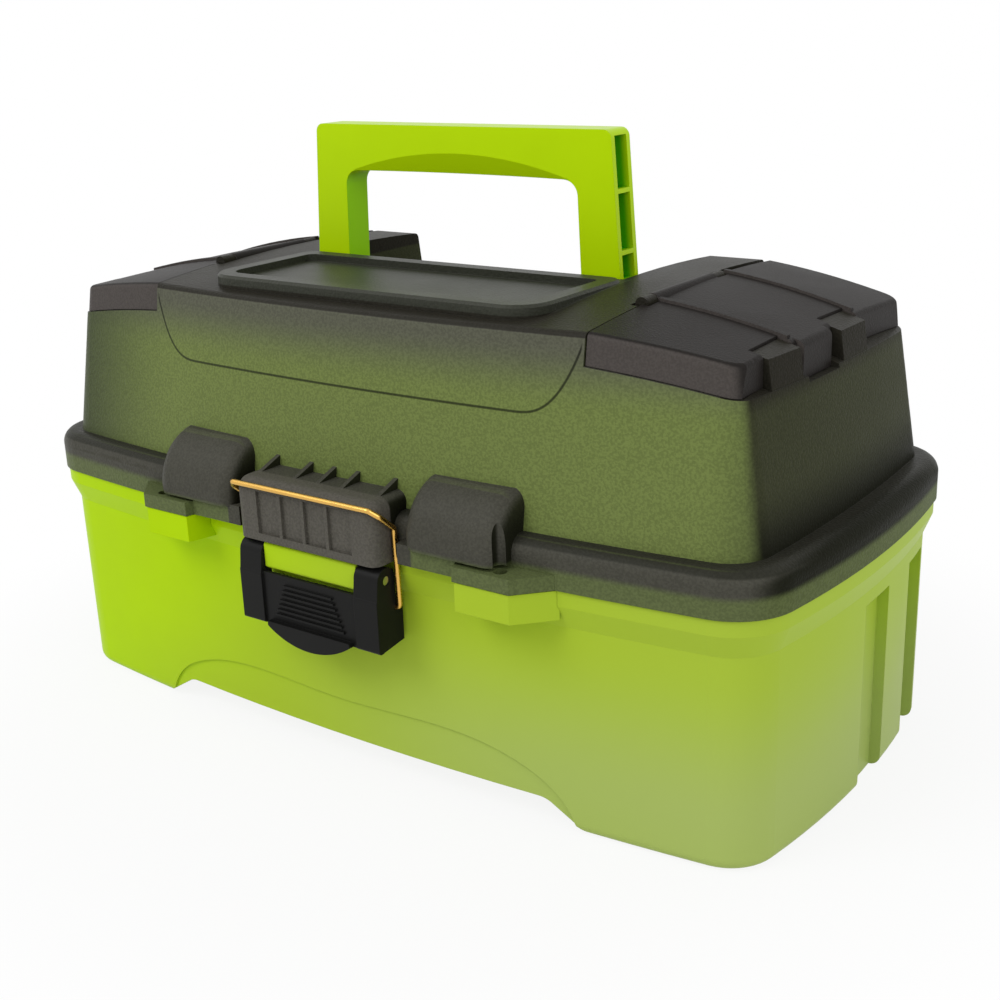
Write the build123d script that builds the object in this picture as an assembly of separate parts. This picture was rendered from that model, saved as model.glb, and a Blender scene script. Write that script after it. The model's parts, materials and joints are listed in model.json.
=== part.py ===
from build123d import *
import os

os.makedirs("parts", exist_ok=True)

# Plan of the box in mm: length along X, depth along Y, the front faces -Y
HALF_LENGTH = 205.0
HALF_DEPTH = 102.0
CORNER_DROP = 4.2
FRONT_BOW = 12.4
END_BOW = 9.1
LID_END_BOW = 4.5
CORNER_R = 27.5
SMALLEST_CORNER = 5.0
FRONT = -HALF_DEPTH
FAR = 2 * HALF_LENGTH

# Clearances, and the overlap that joins two shapes into one
GAP = 0.4
FINE_GAP = 0.3
RUNNING = 0.06
OVERLAP = 1.0

# Base tub: heights and how far each outline lies inside the rim
RIM_Z = 110.0
BASE_INSET = 4.5
BASE_WALL = 2.6
FLOOR = 2.6
BAND_INSET = 1.0
BAND_Z = RIM_Z - 7.0
BAND_FOOT_Z = RIM_Z - 17.0
LIP_INSET = 3.4
LIP_RISE = 7.0
FOOT_ROUND = 5.0
FOOT_LENGTH = 76.0
TUNNEL_SPREAD = 22.0
TUNNEL_FOOT_HALF = HALF_LENGTH - FOOT_LENGTH
TUNNEL_HALF = TUNNEL_FOOT_HALF - TUNNEL_SPREAD
TUNNEL_RISE = 12.5
ARCH_SET_BACK = 1.0
ARCH_SIDE = ((16.0, 0.0), (5.0, 17.0), (-10.0, 25.5))
ARCH_TOP = 31.5
GROOVES = ((1.0, 27.0), (HALF_DEPTH - 46.0, HALF_DEPTH - 24.0))
GROOVE_DEPTH = 5.0
GROOVE_TOP = BAND_FOOT_Z - 6.0

# Lid: skirt, rounded bead, sloping walls and crowned deck
SKIRT = 2.8
BEAD_TOP = RIM_Z + 19.0
BEAD_R = 7.0
BEAD_INNER_Z = BEAD_TOP - 10.5
WALL_INSET = 8.3
WALL_SLOPE = 0.146
LID_WALL = 2.4
SHOULDER_Z = RIM_Z + 70.0
WALL_END_Z = RIM_Z + 108.0
CEILING_Z = RIM_Z + 96.6
CROWN_REACH = HALF_DEPTH - 14.0
CROWN_MID_Y = 10.0
CROWN_SEAM = (96.9, 103.7, 101.2)
CROWN_MIDWAY = (93.8, 98.9, 96.0)
CROWN_END = (88.5, 88.5, 85.5)
SEAM_X = 119.9
END_X = HALF_LENGTH - 13.0
MIDWAY_X = (SEAM_X + END_X) / 2 - 4.0
DECK = 2.6
DECK_ROUND = 3.0

# Wells under the two top covers
WELL_BOTTOM = RIM_Z + 72.0
WELL_FLOOR = 2.5
WELL_X = (SEAM_X + 4.1, HALF_LENGTH - 26.5)
WELL_WALL = 3.0
COVER_DROP = 12.5
COVER_X = (SEAM_X + 0.5, HALF_LENGTH - 23.0)
COVER_SKIN = 2.4
COVER_ROUND = 2.5
COVER_INSET = 0.6
BEADS_Y = (-26.0, 35.0)
BEAD_WIDTH = 2.6
BEAD_RISE = 1.2
PILLARS = ((-52.0, -28.0), (8.0, 33.0))
PILLAR_X = COVER_X[1] - 6.0
PILLAR_DROP = 1.0
PILLAR_SIDE = 3.0
COVER_TAB = (-24.0, 2.0)
TAB_X = (COVER_X[1] + GAP, COVER_X[1] + 3.2)
TAB_FOOT = WELL_BOTTOM + 4.0
TAB_ROUND = 3.5

# Hinges of the top covers, along Y
COVER_AXIS_X = SEAM_X + 0.1
COVER_AXIS_Z = RIM_Z + 101.8
BARREL_R = 3.2
BARREL_Y = (-27.0, 23.0)
EAR_LENGTH = 8.0
EAR_R = BARREL_R - 0.2
COVER_PIN_R = 1.2
HINGE_GROOVE_Y = BARREL_Y[0] - EAR_LENGTH - 3.0
HINGE_GROOVE_X = COVER_AXIS_X - BARREL_R - 0.6
HINGE_GROOVE_Z = COVER_AXIS_Z - BARREL_R - 1.4

# Handle, upright at rest
HANDLE_Y = 8.9
HANDLE_DEPTH = 15.0
HANDLE_AXIS_Z = RIM_Z + 92.4
HANDLE_RISE = 73.6
HANDLE_TOP = HANDLE_AXIS_Z + HANDLE_RISE
HANDLE_HALF_FOOT = 88.4
HANDLE_LEAN = 5.0
HANDLE_LEG = 20.4
HANDLE_LEG_TOP = 17.2
GRIP_DEPTH = 21.5
GRIP_FOOT = HANDLE_TOP - GRIP_DEPTH
HANDLE_ROUND = 4.0
HANDLE_CORNER = 7.0
HANDLE_SKIN = 2.8
HANDLE_CUP_FOOT = 10.1
HANDLE_RIB_SHARES = (0.19, 0.62)
HANDLE_RIB = 2.0
HANDLE_PIN_R = 2.5
HANDLE_PIN_IN = 10.0
HANDLE_PIN_OUT = 6.0
HANDLE_BOSS = 2.5
ARCH_INSET = 4.0
ARCH_RISE = 9.4
ARCH_DEPTH = 4.8

# Raised frame with a sunk panel, and the trough that takes the folded handle
FRAME_HALF = 92.0
FRAME_Y = (FRONT + 29.0, HANDLE_Y - 9.1)
FRAME_TOP = RIM_Z + 104.6
FRAME_BORDER = 8.5
FRAME_R = 16.0
FRAME_ROUND = 1.2
PANEL_Z = FRAME_TOP - 3.2
TROUGH_HALF = HANDLE_HALF_FOOT + 1.2
TROUGH_FLOOR = HANDLE_AXIS_Z - HANDLE_DEPTH / 2 - 1.1
TROUGH_FRONT = HANDLE_Y - HANDLE_DEPTH / 2 - 0.8

# Rear hinge of the lid, along X
HINGE_R = 5.2
HINGE_OUT = 9.8
HINGE_Y = HALF_DEPTH + HINGE_OUT
HINGE_Z = RIM_Z
HINGE_PIN_R = 1.6
HINGE_PIN_PROUD = 1.0
KNUCKLES = (62.0, 74.0, 106.0, 118.0)
WEB_OUT = 3.0
WEB_DROP = 4.0
WEB_REACH = 12.0

# Latch: catch block on the lid, lever and wire bail on the base
LATCH_HALF = 40.0
BLOCK_Z = (RIM_Z - 1.3, RIM_Z + 26.5)
BLOCK_FRONT = FRONT - 12.4
BLOCK_ROOT = FRONT + 12.0
BLOCK_R = 6.0
BLOCK_CORNER = 5.0
RIM_CLEAR = 0.6
PANEL_MARGIN = (3.5, 5.0)
PANEL_DEPTH = 1.4
PANEL_RIBS = (-13.5, 0.0, 13.5)
PANEL_RIB = 1.8
GUSSETS = (-34.0, -13.5, 0.0, 13.5, 34.0)
GUSSET = 2.2
GUSSET_RISE = 5.0
GUSSET_FRONT = BLOCK_FRONT + 8.0
LEVER_Y = FRONT - 6.6
LEVER_Z = RIM_Z - 8.4
LEVER_EAR_R = 5.8
LEVER_PIN_R = 2.0
LEVER_FRONT = FRONT - 13.6
LEVER_BACK = FRONT + 2.8
LEVER_PLATE_Z = (LEVER_Z - 31.6, LEVER_Z - 7.2)
LEVER_ARM = 27.0
LEVER_SKIN = 3.0
LEVER_ROUND = 1.2
FIELD_DEPTH = 1.2
GRIP_RIBS = 7
GRIP_PITCH = 2.4
GRIP_RIB = 1.0
GRIP_HALF = 20.0
GRIP_START = 5.0
LIP_HALF = 24.0
LIP_DROP = 7.5
LIP_FRONT = 1.4
BOSS_FRONT = 4.0
BOSS_RISE = 6.0
BOSS_ROUND = 1.5
BAIL_R = 1.2
BAIL_SIDE = 1.9
BAIL_HALF = LATCH_HALF + BAIL_SIDE
BAIL_BEND = 2.0
BAIL_CORNER = 3.0
BAIL_PIVOT = (FRONT - 1.0, LEVER_Z - 13.6)
BAIL_KNEE = (FRONT - 2.0, BLOCK_Z[1] - 12.5)
BAIL_TOP = (BLOCK_FRONT - 1.4, BLOCK_Z[1] - 2.1)

# Hoods and padlock lugs on the lid's front
HOOD_X = 73.5
HOOD_HALF = 24.5
HOOD_Z = (RIM_Z + 8.0, RIM_Z + 35.5)
HOOD_FRONT = FRONT - 7.5
HOOD_KNEE = (FRONT - 3.0, RIM_Z + 26.0)
HOOD_CREST = FRONT + 10.0
HOOD_REAR = FRONT + 17.0
HOOD_ROUND = 8.0
SKIRT_FRONT = FRONT - 5.4
SKIRT_ROOT = FRONT + 6.0
LUG_X = 97.0
LUG_Y = FRONT - 3.4
LUG_NOSE = 6.0
LUG_PLAN = (-24.0, -20.0, 8.0, 22.0)
LUG_HOLE_R = 3.0
LUG_TOP = RIM_Z + 6.5
BASE_LUG_Z = RIM_Z - 13.0
BASE_LUG_INSET = 0.6

# Tray linkage: the lid is one crank, the arms are the other
CRANK = (-40.0, 20.0)
CRANK_STEP = 2.1
LOWER_TRAY = (FRONT + 28.0, HALF_DEPTH - 44.0, RIM_Z + 1.5, RIM_Z + 32.0)
UPPER_TRAY = (FRONT + 34.0, HALF_DEPTH - 60.0, RIM_Z + 34.0, RIM_Z + 64.0)
PIN_SPAN = UPPER_TRAY[1] - UPPER_TRAY[0] - 25.6
ARM_PIVOT = (HINGE_Y - PIN_SPAN, RIM_Z - 2.6)
TRAY_MARGIN = 29.0
TRAY_HALF = HALF_LENGTH - TRAY_MARGIN
TRAY_WALL = 1.8
ARM = 3.0
ARM_X = (TRAY_HALF + OVERLAP, TRAY_HALF + OVERLAP + ARM)
ARM_HALF_WIDTH = 6.0
PIN_R = 2.0
PIN_HEAD_R = 3.2
PIN_HEAD = 1.4
PIN_SEAT = 13.0
POST_R = 6.0
LID_PIN_REACH = 8.0
LID_POST_GAP = 0.8
OPEN_CLEARANCE = 0.3
LOWER_COUNTS = (4, 3)
UPPER_COUNTS = (5, 4)
TRAY_CORNER = 8.0
TRAY_ROUND = 1.5
DIVIDER = 1.4
DIVIDER_FIT = 0.2
DIVIDER_DROP = 2.0
GUIDE = 1.2


def block(x0, x1, y0, y1, z0, z1):
    size = Box(x1 - x0, y1 - y0, z1 - z0)
    return Pos((x0 + x1) / 2, (y0 + y1) / 2, (z0 + z1) / 2) * size


def rod(x0, x1, y, z, r):
    return Pos((x0 + x1) / 2, y, z) * Rot(0, 90, 0) * Cylinder(r, x1 - x0)


def rod_y(x, y0, y1, z, r):
    return Pos(x, (y0 + y1) / 2, z) * Rot(90, 0, 0) * Cylinder(r, y1 - y0)


def rod_z(x, y, z0, z1, r):
    return Pos(x, y, (z0 + z1) / 2) * Cylinder(r, z1 - z0)


def mirrored(shape):
    return mirror(shape, about=Plane.YZ)


def both(shape):
    return shape + mirrored(shape)


def slab_x(points, x0, x1):
    # a flat outline in depth and height, pushed along X
    face = make_face(Polyline([(x0, y, z) for y, z in points], close=True))
    return extrude(face, x1 - x0, dir=(1, 0, 0))


def slab_y(points, y0, y1):
    # a flat outline in length and height, pushed along Y
    face = make_face(Polyline([(x, y0, z) for x, z in points], close=True))
    return extrude(face, y1 - y0, dir=(0, 1, 0))


def slab_z(points, z0, z1):
    # a flat plan outline, pushed upwards
    face = make_face(Polyline([(x, y, z0) for x, y in points], close=True))
    return extrude(face, z1 - z0, dir=(0, 0, 1))


def outline(inset, z, bow=END_BOW):
    x = HALF_LENGTH - CORNER_DROP - inset
    front = FRONT + inset
    rear = HALF_DEPTH - inset
    corner = front + FRONT_BOW
    middle = (corner + rear) / 2
    sides = [
        ThreePointArc((-x, corner), (0, front), (x, corner)),
        ThreePointArc((x, corner), (x + bow, middle), (x, rear)),
        Line((x, rear), (-x, rear)),
        ThreePointArc((-x, rear), (-x - bow, middle), (-x, corner)),
    ]
    face = make_face(sides)
    r = max(CORNER_R - inset, SMALLEST_CORNER)
    return Pos(0, 0, z) * fillet(face.vertices(), r)


def prism(inset, z0, z1, bow=END_BOW):
    return extrude(outline(inset, z0, bow), z1 - z0, dir=(0, 0, 1))


def taper(inset0, z0, inset1, z1, bow=END_BOW):
    faces = [outline(inset0, z0, bow), outline(inset1, z1, bow)]
    return loft(faces, ruled=True)


def wall_inset(z):
    return WALL_INSET + (z - BEAD_TOP) * WALL_SLOPE


def lid_walls(deeper, z0, z1):
    inset0 = wall_inset(z0) + deeper
    inset1 = wall_inset(z1) + deeper
    return taper(inset0, z0, inset1, z1, LID_END_BOW)


def crown_section(x, heights, drop):
    front, middle, rear = [RIM_Z + height - drop for height in heights]
    arc = ThreePointArc(
        (x, -CROWN_REACH, front),
        (x, CROWN_MID_Y, middle),
        (x, CROWN_REACH, rear),
    )
    down = Line((x, CROWN_REACH, rear), (x, CROWN_REACH, RIM_Z))
    across = Line((x, CROWN_REACH, RIM_Z), (x, -CROWN_REACH, RIM_Z))
    up = Line((x, -CROWN_REACH, RIM_Z), (x, -CROWN_REACH, front))
    return make_face([arc, down, across, up])


def crown_middle(drop):
    face = crown_section(-SEAM_X, CROWN_SEAM, drop)
    return extrude(face, 2 * SEAM_X, dir=(1, 0, 0))


def crown_right(drop):
    return loft(
        [
            crown_section(SEAM_X, CROWN_SEAM, drop),
            crown_section(MIDWAY_X, CROWN_MIDWAY, drop),
            crown_section(END_X, CROWN_END, drop),
        ]
    )


def crank_pin(base, step):
    return (base[0] + step * CRANK[0], base[1] + step * CRANK[1])


HINGE = (HINGE_Y, HINGE_Z)
LOWER_LID_PIN = crank_pin(HINGE, 1)
UPPER_LID_PIN = crank_pin(HINGE, CRANK_STEP)
LOWER_ARM_PIN = crank_pin(ARM_PIVOT, 1)
UPPER_ARM_PIN = crank_pin(ARM_PIVOT, CRANK_STEP)


def tunnel(grow):
    # the raised middle of the floor between the two feet
    half, foot = TUNNEL_HALF + grow, TUNNEL_FOOT_HALF + grow
    rise = TUNNEL_RISE + grow
    points = [(-foot, -OVERLAP), (-half, rise), (half, rise), (foot, -OVERLAP)]
    shape = slab_y(points, -FAR, FAR)
    ridge = shape.edges().filter_by(Axis.Y).group_by(Axis.Z)[-1]
    return fillet(ridge, TUNNEL_RISE)


def arch_recess():
    # the shallow arch over the tunnel, on the front and rear walls
    right = [(TUNNEL_HALF + x, 0, z) for x, z in ARCH_SIDE]
    left = [(-x, y, z) for x, y, z in right]
    line = Spline(*left, (0, 0, ARCH_TOP), *reversed(right))
    face = make_face([line, Line(right[0], left[0])])
    cut = extrude(face, FAR, dir=(0, 1, 0), both=True)
    top = 2 * ARCH_TOP
    ring = prism(BASE_INSET - OVERLAP, 0, top) - prism(BASE_INSET + ARCH_SET_BACK, 0, top)
    return cut & ring


def groove_blocks(grow):
    # upright grooves in the end walls
    shapes = Part()
    for y0, y1 in GROOVES:
        cut = block(HALF_LENGTH / 2, FAR, y0 - grow, y1 + grow, -OVERLAP, GROOVE_TOP + grow)
        shapes += both(cut)
    return shapes - prism(BASE_INSET + GROOVE_DEPTH + grow, -2 * OVERLAP, RIM_Z)


def base_knuckle(x0, x1):
    wall = HALF_DEPTH - BAND_INSET - OVERLAP
    web = [
        (wall, BAND_FOOT_Z + OVERLAP),
        (HINGE_Y + WEB_OUT, HINGE_Z - WEB_DROP),
        (HINGE_Y, HINGE_Z - OVERLAP),
        (wall, HINGE_Z - OVERLAP),
    ]
    return rod(x0, x1, HINGE_Y, HINGE_Z, HINGE_R) + slab_x(web, x0, x1)


def lid_knuckle(x0, x1):
    wall = HALF_DEPTH - OVERLAP
    web = [
        (wall, HINGE_Z + OVERLAP),
        (HINGE_Y, HINGE_Z - 2 * OVERLAP),
        (HINGE_Y + WEB_OUT, HINGE_Z + WEB_DROP),
        (wall, HINGE_Z + WEB_REACH),
    ]
    return rod(x0, x1, HINGE_Y, HINGE_Z, HINGE_R) + slab_x(web, x0, x1)


def lug(inset, z0, z1):
    left, front_left, front_right, right = [LUG_X + x for x in LUG_PLAN]
    nose = LUG_Y - LUG_NOSE + inset
    plan = [
        (left + inset, SKIRT_ROOT),
        (front_left + inset, nose),
        (front_right - inset, nose),
        (right - inset, SKIRT_ROOT),
    ]
    return slab_z(plan, z0, z1)


def latch_boss():
    # the boss between the arms of the lever
    half = LEVER_ARM - GAP
    boss = block(-half, half, LEVER_Y - BOSS_FRONT, SKIRT_ROOT, LEVER_PLATE_Z[1] + OVERLAP,
                 LEVER_Z + BOSS_RISE)
    return fillet(boss.edges().filter_by(Axis.X).group_by(Axis.Y)[0], BOSS_ROUND)


def base_outside():
    shell = prism(BASE_INSET, 0, BAND_FOOT_Z)
    shell = fillet(shell.edges().group_by(Axis.Z)[0], FOOT_ROUND)
    shell += taper(BASE_INSET, BAND_FOOT_Z, BAND_INSET, BAND_Z)
    shell += prism(BAND_INSET, BAND_Z, RIM_Z - GAP)
    return shell + prism(LIP_INSET, RIM_Z - GAP - OVERLAP, RIM_Z + LIP_RISE)


def base_lug():
    # the padlock plate under the base's rim
    plate = lug(BASE_LUG_INSET, BASE_LUG_Z, RIM_Z - GAP) - base_outside()
    return plate - rod_z(LUG_X, LUG_Y, BASE_LUG_Z - OVERLAP, RIM_Z, LUG_HOLE_R)


def lid_lug():
    # the padlock plate that stands on the lid's rim
    plate = lug(0, RIM_Z, LUG_TOP) - prism(0, RIM_Z - OVERLAP, BEAD_TOP)
    return plate - rod_z(LUG_X, LUG_Y, RIM_Z - OVERLAP, BEAD_TOP, LUG_HOLE_R)


def base_tub():
    shell = base_outside()
    inside = prism(BASE_INSET + BASE_WALL, FLOOR, RIM_Z + LIP_RISE + OVERLAP)
    inside -= tunnel(FLOOR)
    inside -= groove_blocks(BASE_WALL)
    shell -= tunnel(0)
    shell -= groove_blocks(0)
    shell -= arch_recess()
    shell -= inside
    for x0, x1 in (KNUCKLES[:2], KNUCKLES[2:]):
        shell += both(base_knuckle(x0, x1))
    shell += latch_boss()
    y, z = ARM_PIVOT
    post = rod(ARM_X[1] + OVERLAP, FAR, y, z, POST_R)
    post &= prism(BASE_INSET + OVERLAP, 0, RIM_Z + LIP_RISE)
    shell += both(post)
    shell -= both(rod(ARM_X[1], ARM_X[1] + PIN_SEAT + OVERLAP, y, z, PIN_R))
    shell -= rod(-LATCH_HALF, LATCH_HALF, LEVER_Y, LEVER_Z, LEVER_PIN_R)
    return shell - both(hinge_pin(HINGE_PIN_R))


def frame_shape(grow, z0, z1):
    half = FRAME_HALF - grow
    y0, y1 = FRAME_Y[0] + grow, FRAME_Y[1] - grow
    shape = block(-half, half, y0, y1, z0, z1)
    uprights = shape.edges().filter_by(Axis.Z).group_by(Axis.Y)
    r = FRAME_R - grow
    shape = fillet(uprights[0], r)
    uprights = shape.edges().filter_by(Axis.Z).group_by(Axis.Y)
    return fillet(uprights[-1], r / 2)


def raised_frame():
    shape = frame_shape(0, CEILING_Z - OVERLAP, FRAME_TOP)
    return chamfer(shape.edges().group_by(Axis.Z)[-1], FRAME_ROUND)


def catch_block():
    z0, z1 = BLOCK_Z
    body = block(-LATCH_HALF, LATCH_HALF, BLOCK_FRONT, BLOCK_ROOT, z0, z1)
    front = body.edges().filter_by(Axis.X).group_by(Axis.Y)[0]
    body = fillet(front.sort_by(Axis.Z)[-1], BLOCK_R)
    body = fillet(body.edges().filter_by(Axis.Z).group_by(Axis.Y)[0], BLOCK_CORNER)
    # the base's rim runs under the block
    body -= block(-LATCH_HALF, LATCH_HALF, FRONT - RIM_CLEAR, 0, 0, RIM_Z)
    low, high = PANEL_MARGIN
    panel = block(-LEVER_ARM, LEVER_ARM, BLOCK_FRONT - OVERLAP, BLOCK_FRONT + PANEL_DEPTH,
                  z0 + low, z1 - high)
    for x in PANEL_RIBS:
        panel -= block(x - PANEL_RIB / 2, x + PANEL_RIB / 2, BLOCK_FRONT, 0, z0, z1)
    body -= panel
    foot = z1 - OVERLAP
    profile = [(GUSSET_FRONT, foot), (BLOCK_ROOT, z1 + GUSSET_RISE), (BLOCK_ROOT, foot)]
    for x in GUSSETS:
        body += slab_x(profile, x - GUSSET / 2, x + GUSSET / 2)
    return body


def hood():
    # a cowl beside the latch, with the skirt bulged forward under it
    x0, x1 = HOOD_X - HOOD_HALF, HOOD_X + HOOD_HALF
    z0, z1 = HOOD_Z
    front, crest = (x0, HOOD_FRONT, z0), (x0, HOOD_CREST, z1)
    rear = [(x0, HOOD_REAR, z1), (x0, HOOD_REAR, z0)]
    brow = ThreePointArc(front, (x0, *HOOD_KNEE), crest)
    face = make_face([brow, Line(crest, rear[0]), Line(*rear), Line(rear[1], front)])
    cowl = extrude(face, x1 - x0, dir=(1, 0, 0))
    ends = [edge for edge in cowl.edges() if edge.geom_type == GeomType.CIRCLE]
    cowl = fillet(ends, HOOD_ROUND)
    skirt = [
        (LATCH_HALF + 2 * BAIL_SIDE, SKIRT_ROOT),
        (LATCH_HALF + 3 * BAIL_SIDE, SKIRT_FRONT),
        (LUG_X, SKIRT_FRONT),
        (LUG_X + LUG_NOSE, SKIRT_ROOT),
    ]
    bulge = slab_z(skirt, RIM_Z, z0 + OVERLAP) - lug(0, RIM_Z - OVERLAP, z0 + 2 * OVERLAP)
    cowl -= rod_z(LUG_X, LUG_Y, RIM_Z, z1 + OVERLAP, LUG_HOLE_R)
    return cowl + bulge


def lid_outside():
    rim = prism(0, RIM_Z, BEAD_TOP)
    rim = fillet(rim.edges().group_by(Axis.Z)[-1], BEAD_R)
    walls = lid_walls(0, SHOULDER_Z, WALL_END_Z)
    middle = walls & crown_middle(0)
    edges = [e for e in middle.edges() if e.center().Z > CEILING_Z and e.length > SEAM_X]
    edges = [e for e in edges if abs(e.center().X) < OVERLAP]
    middle = fillet(edges, DECK_ROUND)
    right = walls & crown_right(COVER_DROP)
    return rim + lid_walls(0, BEAD_TOP - BEAD_R / 2, SHOULDER_Z) + middle + both(right)


def lid_inside():
    low = prism(SKIRT, RIM_Z - OVERLAP, BEAD_INNER_Z)
    inner = WALL_INSET + LID_WALL
    low += taper(SKIRT, BEAD_INNER_Z, inner, BEAD_TOP - OVERLAP)
    room = lid_walls(LID_WALL, BEAD_TOP - 2 * OVERLAP, CEILING_Z)
    side = WELL_X[0] - WELL_WALL
    above = block(-side, side, FRONT, HALF_DEPTH, SHOULDER_Z, WALL_END_Z)
    room -= above - crown_middle(DECK)
    room -= both(block(side, HALF_LENGTH, FRONT, HALF_DEPTH, WELL_BOTTOM, WALL_END_Z))
    half = TROUGH_HALF + DECK
    room -= block(-half, half, TROUGH_FRONT - DECK, HALF_DEPTH, TROUGH_FLOOR - DECK, WALL_END_Z)
    return low + room


def well():
    z0 = WELL_BOTTOM + WELL_FLOOR
    room = block(WELL_X[0], WELL_X[1], FRONT, HALF_DEPTH, z0, WALL_END_Z)
    return lid_walls(WELL_WALL, z0 - OVERLAP, WALL_END_Z) & room


def lid_pillars():
    walls = lid_walls(FINE_GAP, WELL_BOTTOM, WALL_END_Z)
    room = Part()
    for y0, y1 in PILLARS:
        room += block(PILLAR_X, END_X, y0, y1, WELL_BOTTOM, WALL_END_Z)
    return walls & room & crown_right(PILLAR_DROP)


def cover_ears():
    y0, y1 = BARREL_Y
    x0, x1 = COVER_AXIS_X - EAR_R, COVER_AXIS_X + EAR_R
    ears = Part()
    for a, b in ((y0 - GAP - EAR_LENGTH, y0 - GAP), (y1 + GAP, y1 + GAP + EAR_LENGTH)):
        ears += rod_y(COVER_AXIS_X, a, b, COVER_AXIS_Z, EAR_R)
        ears += block(x0, x1, a, b, HINGE_GROOVE_Z - DECK, COVER_AXIS_Z)
    return ears


def lid_front():
    # what stands on the front of the lid, kept out of its inside
    return catch_block() + both(hood()) - lid_inside()


def cover_hinge_cuts():
    groove = block(HINGE_GROOVE_X, COVER_X[0], HINGE_GROOVE_Y, HALF_DEPTH, HINGE_GROOVE_Z, WALL_END_Z)
    y0, y1 = COVER_TAB
    notch = block(TAB_X[0] - FINE_GAP, FAR, y0 - GAP, y1 + GAP, TAB_FOOT - GAP, WALL_END_Z)
    return both(groove) + both(notch)


def lid_shell():
    lid = lid_outside() - lid_inside()
    lid += raised_frame()
    lid -= frame_shape(FRAME_BORDER, PANEL_Z, FRAME_TOP + OVERLAP)
    lid -= block(-TROUGH_HALF, TROUGH_HALF, TROUGH_FRONT, HALF_DEPTH, TROUGH_FLOOR, WALL_END_Z)
    lid += lid_front()
    lid += both(lid_knuckle(KNUCKLES[1] + GAP, KNUCKLES[2] - GAP))
    lid -= both(rod(KNUCKLES[1], KNUCKLES[2], HINGE_Y, HINGE_Z, HINGE_PIN_R + RUNNING))
    lid -= both(well())
    lid += both(lid_pillars())
    lid -= cover_hinge_cuts()
    lid += both(cover_ears())
    lid -= both(cover_pin())
    for y, z in (LOWER_LID_PIN, UPPER_LID_PIN):
        post = rod(TRAY_HALF + LID_POST_GAP, FAR, y, z, POST_R)
        lid += both(post & lid_walls(OVERLAP, BEAD_INNER_Z, WELL_BOTTOM))
        reach = TRAY_HALF + LID_PIN_REACH + OVERLAP
        lid -= both(rod(TRAY_HALF, reach, y, z, PIN_R + OPEN_CLEARANCE))
    boss = rod(TROUGH_HALF, TROUGH_HALF + HANDLE_PIN_OUT + HANDLE_BOSS, HANDLE_Y, HANDLE_AXIS_Z,
               HANDLE_PIN_R + HANDLE_BOSS)
    lid += both(boss)
    return lid - both(handle_pin())


def cover_body():
    walls = lid_walls(COVER_INSET, WELL_BOTTOM, WALL_END_Z)
    room = block(COVER_X[0], COVER_X[1], FRONT, HALF_DEPTH, WELL_BOTTOM, WALL_END_Z)
    body = walls & room & crown_right(0)
    top = body.faces().sort_by(Axis.Z)[-1]
    edges = [e for e in top.edges() if e.center().X > COVER_X[0] + OVERLAP]
    return fillet(edges, COVER_ROUND) - crown_right(COVER_DROP - FINE_GAP)


def cover_tab():
    # the finger tab that folds down over the lid's end
    y0, y1 = COVER_TAB
    tab = block(COVER_X[1] - COVER_SKIN, TAB_X[1], y0, y1, TAB_FOOT, WALL_END_Z) & crown_right(0)
    outer = [e for e in tab.edges() if e.center().X > TAB_X[1] - RUNNING]
    tab = fillet(ShapeList(outer).sort_by(Axis.Z)[-1], TAB_ROUND)
    shelf = block(COVER_X[0], TAB_X[0], y0, y1, WELL_BOTTOM, WALL_END_Z)
    return tab - (shelf & crown_right(COVER_DROP - FINE_GAP))


def cover_beads():
    # the two raised lines that run over the cover from front to back
    walls = lid_walls(COVER_INSET, WELL_BOTTOM, WALL_END_Z)
    layer = crown_right(-BEAD_RISE) - crown_right(OVERLAP)
    strips = Part()
    for y in BEADS_Y:
        strips += block(COVER_X[0], COVER_X[1] - COVER_ROUND, y - BEAD_WIDTH / 2, y + BEAD_WIDTH / 2,
                        WELL_BOTTOM, WALL_END_Z)
    return walls & strips & layer


def right_cover():
    walls = lid_walls(COVER_INSET, WELL_BOTTOM, WALL_END_Z)
    hollow = lid_walls(COVER_INSET + COVER_SKIN, WELL_BOTTOM, WALL_END_Z) & crown_right(COVER_SKIN)
    hollow &= block(COVER_X[0] + COVER_SKIN, COVER_X[1] - COVER_SKIN, FRONT, HALF_DEPTH,
                    WELL_BOTTOM, WALL_END_Z)
    cover = cover_body() + cover_beads() + cover_tab() - hollow
    face = PILLAR_X - GAP
    for y0, y1 in PILLARS:
        cover -= block(face, END_X, y0 - GAP, y1 + GAP, WELL_BOTTOM, WALL_END_Z)
    # shoulders keep the pillar notches closed from inside
    for y0, y1 in PILLARS:
        wall = block(face - COVER_SKIN, face, y0 - PILLAR_SIDE, y1 + PILLAR_SIDE, WELL_BOTTOM, WALL_END_Z)
        cover += wall & crown_right(0) & walls - crown_right(COVER_DROP - FINE_GAP)
    y0, y1 = BARREL_Y
    reach = 2 * GAP + EAR_LENGTH
    for a, b in ((y0 - reach, y0), (y1, y1 + reach)):
        cover -= block(COVER_X[0] - OVERLAP, COVER_AXIS_X + BARREL_R + GAP, a, b, WELL_BOTTOM, WALL_END_Z)
    cover += rod_y(COVER_AXIS_X, y0, y1, COVER_AXIS_Z, BARREL_R)
    return cover - rod_y(COVER_AXIS_X, y0 - OVERLAP, y1 + OVERLAP, COVER_AXIS_Z, COVER_PIN_R + RUNNING)


def cover_pin():
    y0, y1 = BARREL_Y
    return rod_y(COVER_AXIS_X, y0 - EAR_LENGTH, y1 + EAR_LENGTH, COVER_AXIS_Z, COVER_PIN_R)


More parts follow.
